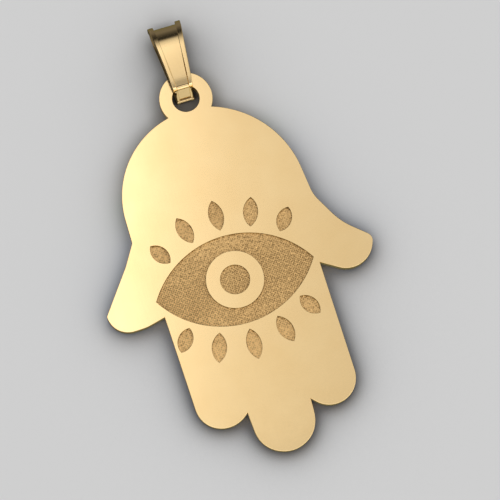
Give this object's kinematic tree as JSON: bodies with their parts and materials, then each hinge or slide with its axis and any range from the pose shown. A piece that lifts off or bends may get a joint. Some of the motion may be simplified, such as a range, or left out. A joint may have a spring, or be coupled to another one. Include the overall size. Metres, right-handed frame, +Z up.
{
  "type": "hamsa pendant",
  "caption": "Flat gold hamsa hand pendant with an engraved, stippled eye with rays, its own ring and a tapered folded bail for a chain.",
  "frame": {"origin": "middle of the pendant's box, on the surface it lies on", "axes": "+Z up out of the engraved face, +Y from the fingertips towards the bail, +X to the right when the face is seen with the bail at the top"},
  "size_m": [0.0176, 0.0288, 0.0024],
  "materials": {
    "plate_gold": "polished yellow gold, the eye's recess finely stippled",
    "bail_gold": "polished yellow gold"
  },
  "bodies": {
    "root": {"hamsa_plate": "plate_gold", "bail": "bail_gold"}
  },
  "joints": []
}
